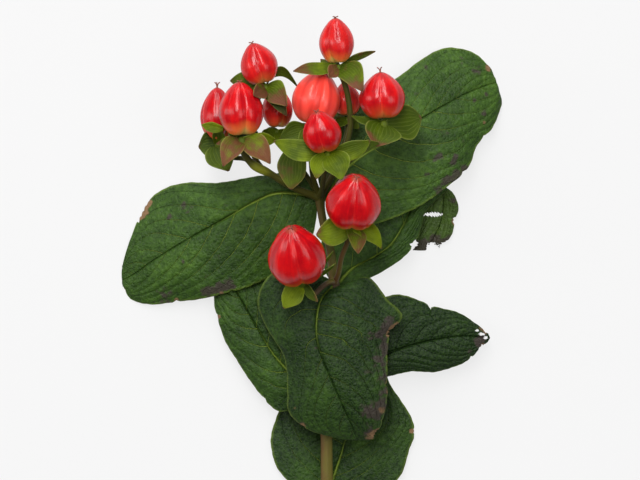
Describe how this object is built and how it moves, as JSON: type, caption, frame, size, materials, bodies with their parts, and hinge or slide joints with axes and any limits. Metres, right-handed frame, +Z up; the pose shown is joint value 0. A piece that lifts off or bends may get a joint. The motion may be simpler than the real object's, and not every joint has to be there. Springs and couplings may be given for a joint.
{
  "type": "hypericum berry stem",
  "caption": "Cut leafy stem of hypericum with a head of red three-lobed berries on leafy green sepals, lying on its side.",
  "frame": {"origin": "on the surface that the stem lies on, at the middle of its bounding box", "axes": "+X to the right, +Y along the stem from its cut end towards the berries, +Z up from the surface"},
  "size_m": [0.0962, 0.1532, 0.038],
  "materials": {
    "stem_bark": "satin",
    "leaf_dark": "satin",
    "sepal_green": "satin",
    "berry_red": "satin"
  },
  "bodies": {
    "root": {"stem": "stem_bark", "leaf_left": "leaf_dark", "leaf_right": "leaf_dark", "leaf_front": "leaf_dark", "leaf_back": "leaf_dark", "leaf_low_left": "leaf_dark", "leaf_low_right": "leaf_dark", "leaf_bottom": "leaf_dark", "bract": "sepal_green", "berry_01": "berry_red", "berry_02": "berry_red", "berry_03": "berry_red", "berry_04": "berry_red", "berry_05": "berry_red", "berry_06": "berry_red", "berry_07": "berry_red", "berry_08": "berry_red", "berry_09": "berry_red", "berry_10": "berry_red", "berry_11": "berry_red", "calyx_01": "sepal_green", "calyx_02": "sepal_green", "calyx_03": "sepal_green", "calyx_04": "sepal_green", "calyx_05": "sepal_green", "calyx_06": "sepal_green", "calyx_07": "sepal_green", "calyx_08": "sepal_green", "calyx_09": "sepal_green", "calyx_10": "sepal_green", "calyx_11": "sepal_green"}
  },
  "joints": []
}
